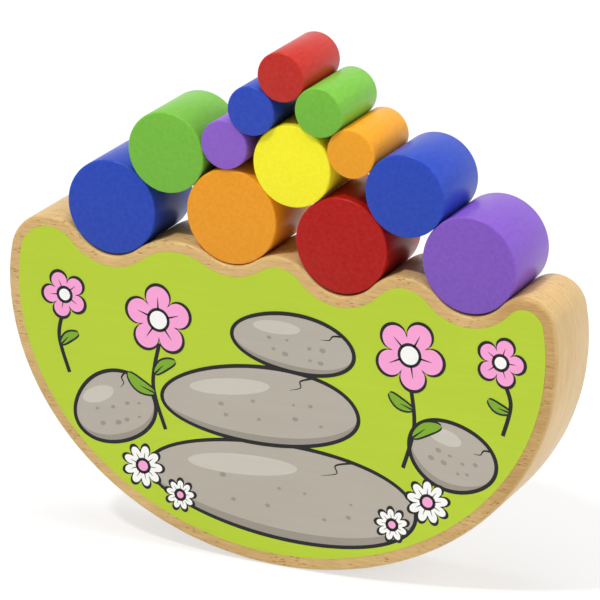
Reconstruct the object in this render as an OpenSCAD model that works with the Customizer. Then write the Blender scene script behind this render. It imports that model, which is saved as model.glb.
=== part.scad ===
// Rocking balance game: a round-bellied wooden rocker whose top edge has four cradles, and twelve loose
// painted cylinders of three diameters piled in them.
// X runs along the rocker and Y through its thickness, with the printed face towards -Y. The origin is under
// the middle of the rocker, on the surface that it stands on.

/* [Cylinders] */
// Diameter of the large cylinders, which lie in the cradles
large_d = 47; // [42:1:54]
// Diameter of the medium cylinders, which lie on the large ones
medium_d = 40; // [34:1:46]
// Diameter of the small cylinders, which lie on top
small_d = 24; // [20:1:30]
// Length of every cylinder
cylinder_length = 40; // [24:1:60]
// Rounding of the cylinders' rims
cylinder_edge = 1; // [0.4:0.1:2]
// How far each row of cylinders stands forward of the rocker's middle, from the lowest row up
row_forward = [-1, -0.5, 0, 1.5]; // [-4:0.5:8]
// Gap left between cylinders that rest on each other
rest_gap = 0.05; // [0.02:0.01:0.6]

/* [Rocker] */
// Thickness of the rocker, from front to back
rocker_thickness = 40; // [24:1:60]
// Height of the rocker's widest line
belly_height = 126.5; // [100:0.5:160]
// From the rocker's left end to the middle of the first cradle
left_reach = 57.5; // [50:0.5:66]
// From the middle of the last cradle to the rocker's right end
right_reach = 44.5; // [38:0.5:52]
// Radius of both ends above the widest line, up to the horns
end_r = 90; // [50:1:140]
// Radius over the horn at the left end
left_horn_r = 22; // [16:0.5:26]
// Radius over the horn at the right end
right_horn_r = 15.5; // [11:0.5:20]
// Height of each cradle's floor above the widest line, from left to right
cradle_rise = [20.6, 24.2, 16.6, 15.6]; // [12:0.2:30]
// How much further apart the cradles lie than a large cylinder's diameter, from left to right
row_gap = [17.5, 10, 18]; // [4:0.5:24]
// Radius over each crest between two cradles, from left to right
crest_r = [36, 21, 22.5]; // [14:0.5:40]
// How much tighter the cradles' floors curve than the large cylinders, which rest on their flanks
cradle_relief = 2; // [0:0.1:3]
// Gap left between the large cylinders and those flanks
cradle_gap = 0.05; // [0.02:0.01:0.6]
// Rounding of the rocker's front and back edges
rocker_edge = 2; // [0.5:0.25:4]

/* [Print] */
// Bare border between the rocker's outline and the print
print_border = 6; // [4:0.5:10]
// How much higher the print sits than an even border would put it
print_lift = 0.5; // [0:0.1:2]
// Thickness of the printed film
print_film = 0.2; // [0.1:0.05:0.5]

/* [Hidden] */
large_r = large_d / 2;
medium_r = medium_d / 2;
small_r = small_d / 2;

// Angle between neighbouring points of a round stretch of the top edge
arc_step = 6;
// Angle between neighbouring points across a rounded edge
edge_step = 30;

// Sides of a cylinder, as drawn
cylinder_facets = 96;

// Error allowed in a gap that is worked out
rounding = 0.001;

// Sum of the first n values of a list
function sum_to(list, n) = n == 0 ? 0 : list[n - 1] + sum_to(list, n - 1);

// Direction from the middle of circle a to that of circle b, where a circle is [across, up, radius]
function heading(a, b) = atan2(b[1] - a[1], b[0] - a[0]);

// Circle of radius r that keeps a gap to circles a and b, left (1) or right (-1) of the line from a to b.
// A circle with a negative radius is touched from within.
function touching(a, b, r, gap, side) =
    let (
        span = norm([b[0] - a[0], b[1] - a[1]]),
        reach_a = a[2] + r + gap,
        reach_b = b[2] + r + gap,
        along = (span ^ 2 + reach_a ^ 2 - reach_b ^ 2) / (2 * span),
        across_squared = reach_a ^ 2 - along ^ 2,
        turn = heading(a, b),
        across = side * sqrt(max(across_squared, 0))
    )
    across_squared < 0 ? undef : [
        a[0] + along * cos(turn) - across * sin(turn),
        a[1] + along * sin(turn) + across * cos(turn),
        r
    ];

// Whether circle c keeps its gap to every circle in the list
function is_clear(c, others) =
    min([for (o = others) norm([c[0] - o[0], c[1] - o[1]]) - c[2] - o[2]]) > rest_gap - rounding;

// The lowest circle of a list
function lowest(circles) =
    let (floor = min([for (c = circles) c[1]]))
        [for (c = circles) if (c[1] == floor) c][0];

// Lowest place where a circle of radius r lies on two of the circles below it, listed from left to right
function settled(below, r) = lowest([
    for (i = [0 : len(below) - 2], j = [i + 1 : len(below) - 1])
        let (c = touching(below[i], below[j], r, rest_gap, 1))
            if (c != undef && is_clear(c, below)) c
]);

// The row of cradles, as the circles of their floors
cradle_r = large_r - cradle_relief;
last_cradle = len(row_gap);
row_length = sum_to(row_gap, last_cradle) + last_cradle * large_d;
half_width = (left_reach + row_length + right_reach) / 2;
cradles = [
    for (i = [0 : last_cradle]) [
        -half_width + left_reach + i * large_d + sum_to(row_gap, i),
        belly_height + cradle_rise[i] + cradle_r,
        cradle_r
    ]
];

// The crests touch the cradles on both sides, and each horn touches an end cradle and the rounded end beside it
crests = [for (i = [0 : last_cradle - 1]) touching(cradles[i], cradles[i + 1], crest_r[i], 0, -1)];
end_x = half_width - end_r;
left_horn = touching([-end_x, belly_height, -end_r], cradles[0], left_horn_r, 0, 1);
right_horn = touching([end_x, belly_height, -end_r], cradles[last_cradle], right_horn_r, 0, -1);

// The rounded ends, and the directions from their middles to where the horns start
left_end = [-end_x, belly_height, end_r];
right_end = [end_x, belly_height, end_r];
left_turn = heading(left_end, left_horn);
right_turn = heading(right_end, right_horn);

// The round stretches of the top edge between the ends, from right to left, humps and hollows in turn
top_circles = concat(
    [right_horn],
    [for (i = [last_cradle : -1 : 1]) each [cradles[i], crests[i - 1]]],
    [cradles[0], left_horn]
);
last_top = len(top_circles) - 1;

// Points of a round stretch short of its last one, each with its outward direction, [x, z, across, up]
function stretch(c, from, to, outward) =
    let (steps = ceil(abs(to - from) / arc_step))
    [
        for (k = [0 : steps - 1])
            let (a = from + (to - from) * k / steps)
                [c[0] + c[2] * cos(a), c[1] + c[2] * sin(a), outward * cos(a), outward * sin(a)]
    ];

// Stretch i of the top edge, from where it meets the one before it to where it meets the next
function top_stretch(i) =
    let (c = top_circles[i])
        stretch(
            c,
            i == 0 ? right_turn : heading(c, top_circles[i - 1]),
            i == last_top ? left_turn : heading(c, top_circles[i + 1]),
            i % 2 == 0 ? 1 : -1
        );

// The top edge, from the right end of the widest line to its left end
top_edge = concat(
    stretch(right_end, 0, right_turn, 1),
    [for (i = [0 : last_top]) each top_stretch(i)],
    stretch(left_end, left_turn, 180, 1),
    [[-half_width, belly_height, -1, 0]]
);

// Point of the belly at x, with its outward direction. The belly is half an ellipse as wide as the rocker.
function belly_at(x) =
    let (
        a = acos(max(-1, min(1, x / half_width))),
        steep = norm([cos(a) / half_width, sin(a) / belly_height])
    )
    [x, belly_height * (1 - sin(a)), cos(a) / half_width / steep, -sin(a) / belly_height / steep];

// The outline, anticlockwise seen from the front, with a point of the belly under each of the top edge
// between its two ends
last_point = len(top_edge) - 1;
rim = concat(top_edge, [for (i = [last_point - 1 : -1 : 1]) belly_at(top_edge[i][0])]);

// The outline drawn in by a distance all round
function inset(d) = [for (p = rim) [p[0] - d * p[2], p[1] - d * p[3]]];

// Sections of the rocker from front to back, each [depth, how far its outline is drawn in]
front_edge = [
    for (a = [0 : edge_step : 90])
        [-rocker_thickness / 2 + rocker_edge * (1 - cos(a)), rocker_edge * (1 - sin(a))]
];
sections = concat(
    front_edge,
    [for (i = [len(front_edge) - 1 : -1 : 0]) [-front_edge[i][0], front_edge[i][1]]]
);

// Circle of the large cylinder that rests on the humps on both sides of cradle i
humps = concat([left_horn], crests, [right_horn]);
function in_cradle(i) = touching(humps[i], humps[i + 1], large_r, cradle_gap, 1);

// The pile, from the cradles upwards, as circles seen from the front
large_blue = in_cradle(0);
large_orange = in_cradle(1);
large_red = in_cradle(2);
large_purple = in_cradle(3);
medium_green = settled([large_blue, large_orange], medium_r);
medium_yellow = settled([large_orange, large_red], medium_r);
medium_blue = settled([large_red, large_purple], medium_r);
small_purple = settled([medium_green, large_orange, medium_yellow], small_r);
small_orange = settled([medium_yellow, large_red, medium_blue], small_r);
small_blue = settled([small_purple, medium_yellow], small_r);
small_green = settled([small_blue, medium_yellow, small_orange], small_r);
small_red = settled([small_blue, medium_yellow, small_green], small_r);

blue = "#354db1";
orange = "#e99a31";
red = "#b02a27";
purple = "#825abb";
green = "#77b745";
yellow = "#f9ed34";
beech = "#deb473";
lime = "#b9d63c";

// Each cylinder's node, colour, place in the pile and how far it stands forward
pile = [
    ["large_blue_cylinder", blue, large_blue, row_forward[0]],
    ["large_orange_cylinder", orange, large_orange, row_forward[0]],
    ["large_red_cylinder", red, large_red, row_forward[0]],
    ["large_purple_cylinder", purple, large_purple, row_forward[0]],
    ["medium_green_cylinder", green, medium_green, row_forward[1]],
    ["medium_yellow_cylinder", yellow, medium_yellow, row_forward[1]],
    ["medium_blue_cylinder", blue, medium_blue, row_forward[1]],
    ["small_purple_cylinder", purple, small_purple, row_forward[2]],
    ["small_orange_cylinder", orange, small_orange, row_forward[2]],
    ["small_blue_cylinder", blue, small_blue, row_forward[3]],
    ["small_green_cylinder", green, small_green, row_forward[3]],
    ["small_red_cylinder", red, small_red, row_forward[3]]
];

// Solid board with rounded edges, built up from its sections
module rocker_base() {
    n = len(rim);
    last = len(sections) - 1;
    points = [for (s = sections, p = inset(s[1])) [p[0], s[0], p[1]]];
    columns = concat(
        [[0, 1, n - 1]],
        [for (i = [1 : last_point - 2]) [i, i + 1, n - 1 - i, n - i]],
        [[last_point - 1, last_point, last_point + 1]]
    );
    front = [for (c = columns) [for (i = [len(c) - 1 : -1 : 0]) c[i]]];
    back = [for (c = columns) [for (i = c) last * n + i]];
    sides = [
        for (k = [0 : last - 1], i = [0 : n - 1])
            let (next = (i + 1) % n)
                [k * n + i, k * n + next, (k + 1) * n + next, (k + 1) * n + i]
    ];
    color(beech) polyhedron(points, concat(front, back, sides));
}

// Printed film on the front face
module front_print() {
    color(lime)
        translate([0, -rocker_thickness / 2, print_lift])
            rotate([90, 0, 0])
                linear_extrude(print_film) polygon(inset(print_border));
}

// Half section of a cylinder with rounded rims, beside its axis
module cylinder_section(r) {
    rim_r = cylinder_edge;
    end = cylinder_length / 2;
    lower = [for (a = [0 : edge_step : 90]) [r - rim_r * (1 - sin(a)), -end + rim_r * (1 - cos(a))]];
    upper = [for (i = [len(lower) - 1 : -1 : 0]) [lower[i][0], -lower[i][1]]];
    polygon(concat([[0, -end]], lower, upper, [[0, end]]));
}

// One loose cylinder, lying along Y at its place in the pile
module loose_cylinder(colour, place, forward) {
    color(colour)
        translate([place[0], -forward, place[1]])
            rotate([90, 0, 0])
                rotate_extrude($fn = cylinder_facets) cylinder_section(place[2]);
}

rocker_base();
front_print();
for (c = pile) {
    loose_cylinder(c[1], c[2], c[3]);
}
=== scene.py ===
"""Looks of a wooden balance game: a beech rocker with a printed front, and painted cylinders piled on it.

Everything is in the part's own frame: X along the rocker, Y through it from front to back, Z up.
"""
import math
import random

import bmesh
import bpy
from mathutils import Matrix, Vector


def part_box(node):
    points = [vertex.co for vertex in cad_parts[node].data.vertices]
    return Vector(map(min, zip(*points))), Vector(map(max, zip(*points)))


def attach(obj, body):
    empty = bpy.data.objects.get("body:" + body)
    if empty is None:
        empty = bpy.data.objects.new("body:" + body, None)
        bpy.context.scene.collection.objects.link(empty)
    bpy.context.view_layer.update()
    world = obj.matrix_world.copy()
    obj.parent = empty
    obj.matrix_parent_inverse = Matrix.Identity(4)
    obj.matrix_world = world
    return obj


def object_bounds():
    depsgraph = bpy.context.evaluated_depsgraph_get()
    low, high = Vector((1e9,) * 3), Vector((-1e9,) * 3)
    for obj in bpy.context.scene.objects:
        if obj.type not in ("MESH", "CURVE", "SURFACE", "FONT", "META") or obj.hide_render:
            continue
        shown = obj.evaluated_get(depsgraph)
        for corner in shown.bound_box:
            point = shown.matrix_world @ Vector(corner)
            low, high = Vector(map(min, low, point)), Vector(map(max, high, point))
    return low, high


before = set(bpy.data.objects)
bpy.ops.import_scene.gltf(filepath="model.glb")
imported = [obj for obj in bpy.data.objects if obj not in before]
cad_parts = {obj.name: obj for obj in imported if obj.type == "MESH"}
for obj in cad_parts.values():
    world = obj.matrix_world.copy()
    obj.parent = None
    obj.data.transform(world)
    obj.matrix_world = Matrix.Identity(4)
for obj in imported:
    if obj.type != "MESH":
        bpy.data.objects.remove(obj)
cad_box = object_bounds()

MM = 0.001
UP = Vector((0, 0, 1))


# Colours

def linear(red, green, blue):
    """A colour given as it shows on a screen, 0 to 255, as the shader wants it: the sRGB curve undone."""
    def channel(value):
        share = value / 255
        return share / 12.92 if share <= 0.04045 else ((share + 0.055) / 1.055) ** 2.4
    return (channel(red), channel(green), channel(blue), 1)


def shade(colour, factor, lift=0):
    """A colour times a factor, and then made paler by a lift, or deeper by a negative one."""
    return tuple(max(0, min(1, value * factor + lift)) for value in colour[:3]) + (1,)


# A cylinder takes the paint named after its size and colour, or else the one named after its colour
PAINTS = {
    "blue": linear(42, 72, 180),
    "small_blue": linear(46, 75, 184),
    "orange": linear(237, 155, 36),
    "small_orange": linear(240, 161, 37),
    "red": linear(175, 22, 13),
    "small_red": linear(191, 46, 37),
    "purple": linear(128, 86, 189),
    "small_purple": linear(141, 96, 200),
    "green": linear(118, 186, 63),
    "yellow": linear(255, 242, 43),
}
BEECH_PALE = linear(232, 198, 137)
BEECH_DARK = linear(187, 146, 88)
BEECH_FLECK = linear(140, 95, 52)
BEECH_END_PALE = linear(217, 187, 134)
BEECH_END_DARK = linear(190, 158, 106)
INKS = {
    "lime": linear(184, 209, 50),
    "leaf": linear(126, 172, 40),
    "stone": linear(182, 174, 162),
    "stone_light": linear(203, 196, 185),
    "stone_dark": linear(156, 148, 137),
    "line": linear(30, 28, 30),
    "pink": linear(250, 164, 214),
    "white": linear(250, 249, 246),
}


# Materials

class Shading:
    """Builds the nodes of one material and wires them to its shader."""

    def __init__(self, name):
        self.material = bpy.data.materials.new(name)
        self.material.use_nodes = True
        self.tree = self.material.node_tree
        self.shader = self.tree.nodes["Principled BSDF"]

    def add(self, kind, inputs, output=0, **settings):
        """A new node's output. An input is a plain value or another node's output."""
        node = self.tree.nodes.new(kind)
        for name, value in settings.items():
            setattr(node, name, value)
        for key, value in inputs.items():
            if isinstance(value, bpy.types.NodeSocket):
                self.tree.links.new(value, node.inputs[key])
            else:
                node.inputs[key].default_value = value
        return node.outputs[output]

    def math(self, operation, *values):
        """The result of an operation on numbers."""
        return self.add("ShaderNodeMath", dict(enumerate(values)), operation=operation)

    def total(self, *terms):
        """The sum of values, each given with its weight."""
        first, *others = terms
        result = self.math("MULTIPLY", *first)
        for value, weight in others:
            result = self.math("MULTIPLY_ADD", value, weight, result)
        return result

    def vector(self, operation, *values, output="Vector"):
        """The result of an operation on vectors."""
        return self.add("ShaderNodeVectorMath", dict(enumerate(values)), output, operation=operation)

    def place(self, kind="Object"):
        """A point's place in metres (Object) or as a share of its box (Generated), or its Normal."""
        return self.add("ShaderNodeTexCoord", {}, kind)

    def axis(self, vector, name):
        """One axis of a vector."""
        return self.add("ShaderNodeSeparateXYZ", {0: vector}, name)

    def noise(self, cells, detail):
        """Noise spread out to run from 0 to 1, with this many cells per metre along each axis."""
        scaled = self.vector("MULTIPLY", self.place(), cells)
        raw = self.add("ShaderNodeTexNoise", {"Vector": scaled, "Scale": 1, "Detail": detail})
        return self.ramp(raw, start=0.3, end=0.7)

    def spots(self, cells, edge, core):
        """One soft spot in each cell, with this many cells per metre along each axis."""
        scaled = self.vector("MULTIPLY", self.place(), cells)
        distance = self.add("ShaderNodeTexVoronoi", {"Vector": scaled, "Scale": 1}, "Distance")
        return self.ramp(distance, start=edge, end=core, smooth=True)

    def ramp(self, value, start=0.0, end=1.0, low=0.0, high=1.0, smooth=False):
        """Goes from low to high as a value goes from start to end."""
        kind = "SMOOTHSTEP" if smooth else "LINEAR"
        inputs = {"Value": value, "From Min": start, "From Max": end, "To Min": low, "To Max": high}
        return self.add("ShaderNodeMapRange", inputs, interpolation_type=kind)

    def mix(self, share, first, second):
        """A colour that goes from the first to the second."""
        share_input, first_input, second_input, colour_output = 0, 6, 7, 2
        inputs = {share_input: share, first_input: first, second_input: second}
        return self.add("ShaderNodeMix", inputs, colour_output, data_type="RGBA")

    def finish(self, colour, roughness, height, bump, specular):
        """Wires colour, roughness and bump to the shader, and sets how strongly it reflects."""
        links = self.tree.links
        links.new(colour, self.shader.inputs["Base Color"])
        links.new(roughness, self.shader.inputs["Roughness"])
        inputs = {"Strength": 1.0, "Distance": bump, "Height": height}
        links.new(self.add("ShaderNodeBump", inputs), self.shader.inputs["Normal"])
        self.shader.inputs["Specular IOR Level"].default_value = specular
        return self.material


def beech():
    """Lacquered beech: growth layers across Y, fibres and short streaks along X, and small dark flecks."""
    look = Shading("beech")
    fibre = look.noise(cells=(30, 1300, 1300), detail=3)
    streak = look.noise(cells=(130, 850, 850), detail=2)
    layer = look.noise(cells=(10, 700, 22), detail=4)
    broad = look.noise(cells=(9, 80, 60), detail=2)
    tone = look.total((streak, 0.3), (fibre, 0.3), (broad, 0.2), (layer, 0.2))

    # Painted shade: the front face is made darker near the right end
    painted_shade_depth = 0.42
    rightward = look.ramp(look.axis(look.place(), "X"), start=100 * MM, end=120 * MM)
    frontward = look.ramp(look.axis(look.place(), "Y"), start=-17 * MM, end=-18.5 * MM)
    painted_shade_near_right_end = look.math("MULTIPLY", rightward, frontward)
    tone = look.math("MULTIPLY_ADD", painted_shade_near_right_end, -painted_shade_depth, tone)
    wood = look.mix(tone, BEECH_DARK, BEECH_PALE)

    # The ends are greyer, with fine upright dashes
    sideways = look.math("ABSOLUTE", look.axis(look.place("Normal"), "X"))
    endward = look.ramp(sideways, start=0.2, end=0.95)
    dashes = look.noise(cells=(40, 1500, 110), detail=3)
    end_tone = look.total((broad, 0.25), (dashes, 0.35), (layer, 0.4))
    end_wood = look.mix(end_tone, BEECH_END_DARK, BEECH_END_PALE)
    wood = look.mix(endward, wood, end_wood)

    # Flecks lie in loose groups, fainter on the ends
    fleck_depth = 0.5
    scatter = look.ramp(look.noise(cells=(70, 170, 170), detail=2), start=0.3, end=0.7)
    fleck = look.math("MULTIPLY", look.spots(cells=(230, 900, 900), edge=0.36, core=0.12), scatter)
    fleck_share = look.math("MULTIPLY", fleck, look.ramp(endward, low=0.8, high=0.25))
    wood = look.mix(fleck_share, wood, BEECH_FLECK)

    roughness = look.ramp(fibre, low=0.3, high=0.4)
    height = look.math("MULTIPLY_ADD", fleck, -fleck_depth, fibre)
    return look.finish(wood, roughness, height, bump=0.03 * MM, specular=0.22)


def paint(name, colour):
    """Satin paint on turned wood: the grain runs along Y and dots the ends, and the rims are paler in
    patches, partly rubbed and partly a painted highlight.
    """
    look = Shading(name)
    grain = look.noise(cells=(1000, 45, 1000), detail=3)
    mottle = look.noise(cells=(480, 200, 480), detail=3)
    tone = look.total((mottle, 0.65), (grain, 0.35))
    deep = shade(colour, factor=0.95, lift=-0.006)
    pale = shade(colour, factor=1.04, lift=0.009)
    body = look.mix(tone, deep, pale)

    # Distance from the axis, 1 on the round side, and from the middle, 1 on the ends
    centred = look.vector("SUBTRACT", look.place("Generated"), (0.5, 0.5, 0.5))
    outward = look.vector("LENGTH", look.vector("MULTIPLY", centred, (2, 0, 2)), output="Value")
    endward = look.math("MULTIPLY", look.math("ABSOLUTE", look.axis(centred, "Y")), 2)

    # Rims, paler in patches: partly rubbed paint, partly a painted highlight
    near_side = look.ramp(outward, start=0.94, end=0.99)
    near_end = look.ramp(endward, start=0.95, end=0.985)
    rim = look.math("MULTIPLY", near_side, near_end)
    patches = look.noise(cells=(500, 500, 500), detail=2)
    rubbing_and_glint_patches = look.ramp(patches, start=0.4, end=1.0, low=0.05, high=0.5)
    rubbed_and_highlit_rims = look.math("MULTIPLY", rim, rubbing_and_glint_patches)
    # Painted highlight, together with rubbed paint, makes the rims paler
    body = look.mix(rubbed_and_highlit_rims, body, shade(colour, factor=1.35))

    roughness = look.ramp(mottle, low=0.28, high=0.36)
    return look.finish(body, roughness, grain, bump=0.025 * MM, specular=0.15)


def ink(name, colour):
    """Printed ink that lets the board's grain show through in faint streaks along X."""
    look = Shading(name)
    streak = look.noise(cells=(16, 420, 420), detail=3)
    cloud = look.noise(cells=(22, 22, 22), detail=2)
    tone = look.total((cloud, 0.5), (streak, 0.5))
    body = look.mix(tone, shade(colour, factor=0.965), shade(colour, factor=1.03))
    roughness = look.ramp(streak, low=0.4, high=0.48)
    return look.finish(body, roughness, streak, bump=0.01 * MM, specular=0.25)


def smooth_rounds():
    """A node group that shades rounded edges smoothly and leaves sharp corners sharp."""
    sharp_angle = math.radians(35)
    weld = 0.002 * MM
    group = bpy.data.node_groups.new("smooth_rounds", "GeometryNodeTree")
    group.interface.new_socket("Geometry", in_out="INPUT", socket_type="NodeSocketGeometry")
    group.interface.new_socket("Geometry", in_out="OUTPUT", socket_type="NodeSocketGeometry")
    nodes, links = group.nodes, group.links
    entry = nodes.new("NodeGroupInput")
    exit_node = nodes.new("NodeGroupOutput")
    plain = nodes.new("GeometryNodeRemoveAttribute")
    plain.inputs["Name"].default_value = "custom_normal"
    merge = nodes.new("GeometryNodeMergeByDistance")
    merge.inputs["Distance"].default_value = weld
    faces = nodes.new("GeometryNodeSetShadeSmooth")
    edges = nodes.new("GeometryNodeSetShadeSmooth")
    edges.domain = "EDGE"
    angle = nodes.new("GeometryNodeInputMeshEdgeAngle")
    blunt = nodes.new("ShaderNodeMath")
    blunt.operation = "LESS_THAN"
    blunt.inputs[1].default_value = sharp_angle
    links.new(entry.outputs[0], plain.inputs["Geometry"])
    links.new(plain.outputs[0], merge.inputs["Geometry"])
    links.new(merge.outputs[0], faces.inputs["Geometry"])
    links.new(faces.outputs[0], edges.inputs["Geometry"])
    links.new(angle.outputs[0], blunt.inputs[0])
    links.new(blunt.outputs[0], edges.inputs["Shade Smooth"])
    links.new(edges.outputs[0], exit_node.inputs[0])
    return group


def dress(node, material, smoothing):
    """Gives a CAD node its material and smooth shading."""
    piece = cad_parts[node]
    piece.data.materials.clear()
    piece.data.materials.append(material)
    modifier = piece.modifiers.new("smooth_rounds", "NODES")
    modifier.node_group = smoothing


smoothing = smooth_rounds()
dress("rocker_base", beech(), smoothing)
inks = {name: ink("ink_" + name, colour) for name, colour in INKS.items()}
dress("front_print", inks["lime"], smoothing)
paints = {name: paint(name + "_paint", colour) for name, colour in PAINTS.items()}
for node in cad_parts:
    if node.endswith("_cylinder"):
        size, colour = node.split("_")[:2]
        dress(node, paints.get(size + "_" + colour, paints[colour]), smoothing)


# The printed picture: thin plates of ink on the film, drawn in millimetres across and up the front

PRINT_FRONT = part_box("front_print")[0].y
LAYER = 0.015 * MM
LINE = 2.0
THIN_LINE = 1.1
OUTLINE_POINTS = 120


class Ink:
    """Gathers the plates of one colour into one piece."""

    def __init__(self, name):
        self.name = name
        self.mesh = bmesh.new()

    def plate(self, outline, layer):
        """Adds a closed plate with this outline, whose front is so many layers before the film."""
        front_y = PRINT_FRONT - layer * LAYER
        back = [self.mesh.verts.new((x * MM, PRINT_FRONT, z * MM)) for x, z in outline]
        front = [self.mesh.verts.new((x * MM, front_y, z * MM)) for x, z in outline]
        self.mesh.faces.new(front)
        self.mesh.faces.new(reversed(back))
        for i, corner in enumerate(front):
            before = i - 1
            self.mesh.faces.new((corner, front[before], back[before], back[i]))

    def make_piece(self):
        """Makes the plates one piece, which rides on the rocker."""
        bmesh.ops.recalc_face_normals(self.mesh, faces=self.mesh.faces)
        data = bpy.data.meshes.new("print_" + self.name)
        self.mesh.to_mesh(data)
        self.mesh.free()
        data.materials.append(inks[self.name])
        made = bpy.data.objects.new("print_" + self.name, data)
        bpy.context.scene.collection.objects.link(made)
        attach(made, "rocker")


plates = {name: Ink(name) for name in INKS if name != "lime"}


def turned(point, turn, middle=(0, 0)):
    """A point turned about the origin by an angle in degrees, then moved to a middle."""
    cosine, sine = math.cos(math.radians(turn)), math.sin(math.radians(turn))
    x, z = point
    return middle[0] + x * cosine - z * sine, middle[1] + x * sine + z * cosine


def around(middle, reach, turn=0):
    """Outline round a middle, at the reach across and up that is given for each angle."""
    outline = []
    for k in range(OUTLINE_POINTS):
        angle = 2 * math.pi * k / OUTLINE_POINTS
        across, up = reach(angle)
        outline.append(turned((across * math.cos(angle), up * math.sin(angle)), turn, middle))
    return outline


def oval(middle, across, up, turn=0):
    """Outline of an ellipse with these half widths."""
    return around(middle, lambda angle: (across, up), turn)


def curve(points):
    """A smooth curve through points, as a Catmull-Rom spline."""
    steps = 10
    ends = [points[0], *points, points[-1]]
    path = []
    for near in zip(ends, ends[1:], ends[2:], ends[3:]):
        for k in range(steps):
            t = k / steps
            weights = (
                -t + 2 * t ** 2 - t ** 3,
                2 - 5 * t ** 2 + 3 * t ** 3,
                t + 4 * t ** 2 - 3 * t ** 3,
                -t ** 2 + t ** 3,
            )
            path.append(tuple(sum(w * p[i] for w, p in zip(weights, near)) / 2 for i in (0, 1)))
    return path + [points[-1]]


def ribbon(points, width):
    """Outline of a line through points, with a width for each share of its length."""
    least = 0.15
    path = curve(points)
    left, right = [], []
    for i, point in enumerate(path):
        before, after = path[max(i - 1, 0)], path[min(i + 1, len(path) - 1)]
        along = math.degrees(math.atan2(after[1] - before[1], after[0] - before[0]))
        half = max(least, width(i / (len(path) - 1))) / 2
        left.append(turned((0, half), along, point))
        right.append(turned((0, -half), along, point))
    return left + right[::-1]


def even(width):
    """The same width all along."""
    return lambda share: width


def pointed(width):
    """Widest in the middle and pointed at both ends."""
    fullness = 0.8
    return lambda share: width * math.sin(math.pi * share) ** fullness


def tapering(width):
    """Widest at the start and pointed at the end."""
    fullness = 0.7
    return lambda share: width * (1 - share) ** fullness


def stone(middle, width, height, turn, layer, draw):
    """An outlined stone with a shaded belly, a pale patch above, a crack and some specks."""
    lump, knob, crack = draw.uniform(0, 6), draw.uniform(0, 6), draw.uniform(0.6, 1.1)
    lump_share, knob_share = 0.035, 0.025

    def swell(angle):
        """How far out the edge lies at an angle, as a share of an ellipse's reach."""
        return 1 + lump_share * math.cos(2 * angle + lump) + knob_share * math.cos(3 * angle + knob)

    def edge(grow, share=1):
        """Reach of the edge, or of a share of the way to it, and then some more."""
        def reach(angle):
            out = swell(angle)
            return width / 2 * out * share + grow, height / 2 * out * share + grow
        return reach

    def at(angle, share, grow=0):
        """A point of the stone at an angle, as a share of the way out and then some more."""
        across, up = edge(grow, share)(angle)
        return turned((across * math.cos(angle), up * math.sin(angle)), turn, middle)

    plates["line"].plate(around(middle, edge(LINE / 2), turn), layer)
    plates["stone"].plate(around(middle, edge(-LINE / 2), turn), layer + 1)

    # Belly, a crescent with blunt tips along the lower edge
    start, sweep, depth, steps = 195, 150, 0.16, 40
    tip_share = 0.995
    outer, inner = [], []
    for k in range(steps + 1):
        angle = math.radians(start + sweep * k / steps)
        outer.append(at(angle, 1, -LINE / 2))
        inner.append(at(angle, tip_share - depth * math.sin(math.pi * k / steps), -LINE / 2))
    plates["stone_dark"].plate(outer + inner[::-1], layer + 2)

    # Pale patch
    patch = turned((-0.15 * width, 0.22 * height), turn, middle)
    patch_tilt = 5
    plates["stone_light"].plate(oval(patch, 0.2 * width, 0.11 * height, turn + patch_tilt), layer + 2)

    # Crack, from the edge inwards
    bends = ((0, 1), (0.06, 0.84), (-0.05, 0.7), (0.02, 0.56))
    fissure = [at(crack + aside, share) for aside, share in bends]
    plates["line"].plate(ribbon(fissure, tapering(THIN_LINE)), layer + 3)

    # Specks, in two uneven rows
    middle_column, middle_row = 1.2, 0.9
    stray_across, stray_up = 0.3, 0.25
    step_across, step_up = 0.15 * width, 0.2 * height
    flatness = 1.4
    for row in range(2):
        for column in range(4):
            x = (column - middle_column + draw.uniform(-stray_across, stray_across)) * step_across
            z = (row - middle_row + draw.uniform(-stray_up, stray_up)) * step_up
            size = draw.uniform(0.6, 1.2)
            speck = oval(turned((x, z), turn, middle), flatness * size, size, turn)
            plates["stone_dark"].plate(speck, layer + 3)


def flower(middle, size, petals, turn, colour, heart, layer):
    """An outlined flower with round petals, a line on each, and a heart of another colour."""
    notch, roundness = 0.5, 0.55
    rim = 0.8 * LINE
    vein_shares = (0.3, 0.5, 0.68)
    full_size = 18
    vein_width = THIN_LINE * size / full_size
    heart_size = 0.3 * size
    heart_rim, heart_face = heart_size + LINE / 2, heart_size - LINE / 4

    def edge(grow):
        """Reach of the petals, and then some more."""
        def reach(angle):
            out = size * (notch + (1 - notch) * abs(math.cos(petals * angle / 2)) ** roundness) + grow
            return out, out
        return reach

    plates["line"].plate(around(middle, edge(rim), turn), layer)
    plates[colour].plate(around(middle, edge(0), turn), layer + 1)
    for k in range(petals):
        toward = turn + 360 * k / petals
        vein = [turned((size * share, 0), toward, middle) for share in vein_shares]
        plates["line"].plate(ribbon(vein, tapering(vein_width)), layer + 2)
    plates["line"].plate(oval(middle, heart_rim, heart_rim), layer + 2)
    plates[heart].plate(oval(middle, heart_face, heart_face), layer + 3)


def leaf(base, turn, length, layer):
    """An outlined leaf with a middle rib."""
    bend = ((0, 0), (0.5, 0.1), (1, 0))
    spine = [turned((length * share, length * rise), turn, base) for share, rise in bend]
    breadth = 0.34 * length
    width = pointed(breadth)
    plates["line"].plate(ribbon(spine, lambda share: width(share) + LINE), layer)
    plates["leaf"].plate(ribbon(spine, width), layer + 1)
    plates["line"].plate(ribbon(spine[:2], tapering(THIN_LINE)), layer + 2)


def stalk(points, layer):
    """A flower's stalk."""
    plates["line"].plate(ribbon(points, even(LINE)), layer)


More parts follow.
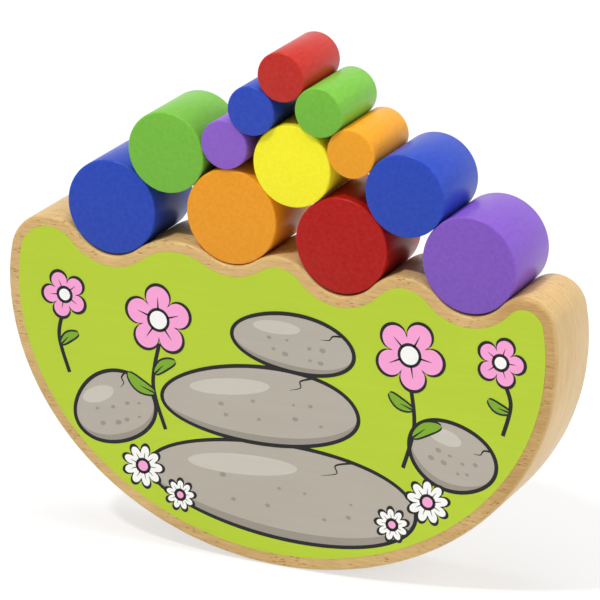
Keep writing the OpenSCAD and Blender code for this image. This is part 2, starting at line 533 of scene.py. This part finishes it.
def picture():
    """A cairn between two boulders, with blossoms and daisies."""
    draw = random.Random(11)
    lower, middle, upper = 1, 5, 9

    # Middle, width, height, turn and layer of each stone
    for place, width, height, turn, layer in (
        ((3, 39.5), 147, 47.5, -1, lower),
        ((-8, 82), 108, 38, 3, middle),
        ((10, 116), 62, 30, -4, upper),
        ((-87.5, 69.5), 46, 36, 18, lower),
        ((91, 71.5), 44, 35, -20, lower),
    ):
        stone(place, width, height, turn, layer, draw)

    for points in (
        [(-60, 62), (-66, 84), (-62, 106)],
        [(66, 62), (72, 84), (70, 106)],
        [(-112, 84), (-117, 102), (-114, 116)],
        [(117, 86), (121, 102), (117, 114)],
    ):
        stalk(points, middle)

    # Foot, turn and length of each leaf
    for base, turn, length in (
        ((-65, 80), 150, 17),
        ((-65, 90), 35, 14),
        ((71, 78), 28, 17),
        ((71.5, 92), 150, 14),
        ((-116, 98), 35, 12),
        ((120.5, 98), 155, 12),
    ):
        leaf(base, turn, length, middle + 1)

    # Middle, size and turn of each blossom
    for place, size, turn in (
        ((-62, 118), 17, 18),
        ((70, 119), 17, -10),
        ((-113, 124), 11.5, 40),
        ((116, 122), 11.5, 0),
    ):
        flower(place, size, petals=5, turn=turn, colour="pink", heart="white", layer=upper)

    # Middle, size, turn and layer of each daisy
    for place, size, turn, layer in (
        ((-73, 41), 10.5, 0, middle),
        ((78.5, 46.5), 10.5, 10, middle),
        ((-53, 29), 7.5, 8, upper),
        ((60, 32), 8, 16, upper),
    ):
        flower(place, size, petals=9, turn=turn, colour="white", heart="pink", layer=layer)


picture()
for plate_set in plates.values():
    plate_set.make_piece()


# Floor, light and camera

def seen_by_eye(tree):
    """1 for rays that show the background: to the camera, in a reflection or through glass."""
    path = tree.nodes.new("ShaderNodeLightPath")
    first = tree.nodes.new("ShaderNodeMath")
    first.operation = "MAXIMUM"
    both = tree.nodes.new("ShaderNodeMath")
    both.operation = "MAXIMUM"
    tree.links.new(path.outputs["Is Camera Ray"], first.inputs[0])
    tree.links.new(path.outputs["Is Glossy Ray"], first.inputs[1])
    tree.links.new(first.outputs[0], both.inputs[0])
    tree.links.new(path.outputs["Is Transmission Ray"], both.inputs[1])
    return both.outputs[0]


def floor():
    """A wide floor that keeps the shadow, looks white, and throws a little less than all its light back."""
    radius = 8
    white_share = 0.65
    thrown_back = 0.9
    mesh = bmesh.new()
    bmesh.ops.create_circle(mesh, cap_ends=True, radius=radius, segments=96)
    data = bpy.data.meshes.new("floor")
    mesh.to_mesh(data)
    mesh.free()
    made = bpy.data.objects.new("floor", data)
    bpy.context.scene.collection.objects.link(made)
    material = bpy.data.materials.new("floor")
    material.use_nodes = True
    tree = material.node_tree
    tree.nodes.clear()
    eye = seen_by_eye(tree)
    grey = tree.nodes.new("ShaderNodeMapRange")
    grey.inputs["To Min"].default_value = thrown_back
    share = tree.nodes.new("ShaderNodeMapRange")
    share.inputs["To Max"].default_value = white_share
    diffuse = tree.nodes.new("ShaderNodeBsdfDiffuse")
    glow = tree.nodes.new("ShaderNodeEmission")
    blend = tree.nodes.new("ShaderNodeMixShader")
    output = tree.nodes.new("ShaderNodeOutputMaterial")
    tree.links.new(eye, grey.inputs["Value"])
    tree.links.new(eye, share.inputs["Value"])
    tree.links.new(grey.outputs[0], diffuse.inputs["Color"])
    tree.links.new(share.outputs[0], blend.inputs[0])
    tree.links.new(diffuse.outputs[0], blend.inputs[1])
    tree.links.new(glow.outputs[0], blend.inputs[2])
    tree.links.new(blend.outputs[0], output.inputs["Surface"])
    data.materials.append(material)


def surroundings(strength):
    """White all round, at full strength where it is seen and weaker as light."""
    world = bpy.data.worlds.new("studio")
    world.use_nodes = True
    bpy.context.scene.world = world
    tree = world.node_tree
    level = tree.nodes.new("ShaderNodeMapRange")
    level.inputs["To Min"].default_value = strength
    level.inputs["To Max"].default_value = 1
    tree.links.new(seen_by_eye(tree), level.inputs["Value"])
    background = tree.nodes["Background"]
    background.inputs["Color"].default_value = (1, 1, 1, 1)
    tree.links.new(level.outputs[0], background.inputs["Strength"])


def direction(azimuth, elevation):
    """Unit vector from the object towards an angle, where azimuth 0 is the front and 90 the right side."""
    turn, rise = math.radians(azimuth), math.radians(elevation)
    return Vector((math.sin(turn) * math.cos(rise), -math.cos(turn) * math.cos(rise), math.sin(rise)))


def overhead(name, azimuth, elevation, spread, strength):
    """A far light, as wide in the sky as its spread in degrees, so that its shadows have soft edges."""
    data = bpy.data.lights.new(name, "SUN")
    data.energy = strength
    data.angle = math.radians(spread)
    lamp = bpy.data.objects.new(name, data)
    lamp.rotation_euler = direction(azimuth, elevation).to_track_quat("Z", "Y").to_euler()
    bpy.context.scene.collection.objects.link(lamp)


def softbox(name, azimuth, elevation, distance, size, power):
    """A square soft light aimed at the object's middle."""
    low, high = cad_box
    data = bpy.data.lights.new(name, "AREA")
    data.energy = power
    data.size = size
    lamp = bpy.data.objects.new(name, data)
    back = direction(azimuth, elevation)
    lamp.location = (low + high) / 2 + back * distance
    lamp.rotation_euler = back.to_track_quat("Z", "Y").to_euler()
    bpy.context.scene.collection.objects.link(lamp)


def camera():
    """The photograph's view: a long lens from the right and above, with a slight roll."""
    azimuth, elevation, roll = 26.138, 19.601, -1.115
    distance = 1865.1 * MM
    aim = Vector((13.65 * MM, -20 * MM, 138.54 * MM))
    lens, sensor_width = 238.3, 36
    back = direction(azimuth, elevation)
    level = UP.cross(back).normalized()
    data = bpy.data.cameras.new("camera")
    data.lens = lens
    data.sensor_width = sensor_width
    made = bpy.data.objects.new("camera", data)
    axes = Matrix((level, back.cross(level), back)).transposed()
    turn = Matrix.Rotation(math.radians(roll), 3, "Z")
    made.matrix_world = Matrix.Translation(aim + back * distance) @ (axes @ turn).to_4x4()
    bpy.context.scene.collection.objects.link(made)
    bpy.context.scene.camera = made


floor()
surroundings(strength=0.35)
overhead("key", azimuth=-30, elevation=62, spread=5, strength=1.55)
softbox("top_light", azimuth=40, elevation=86, distance=2.5, size=1.6, power=26)
softbox("right_fill", azimuth=100, elevation=28, distance=2.5, size=2.0, power=25)
camera()
bpy.context.scene.view_settings.view_transform = "Standard"
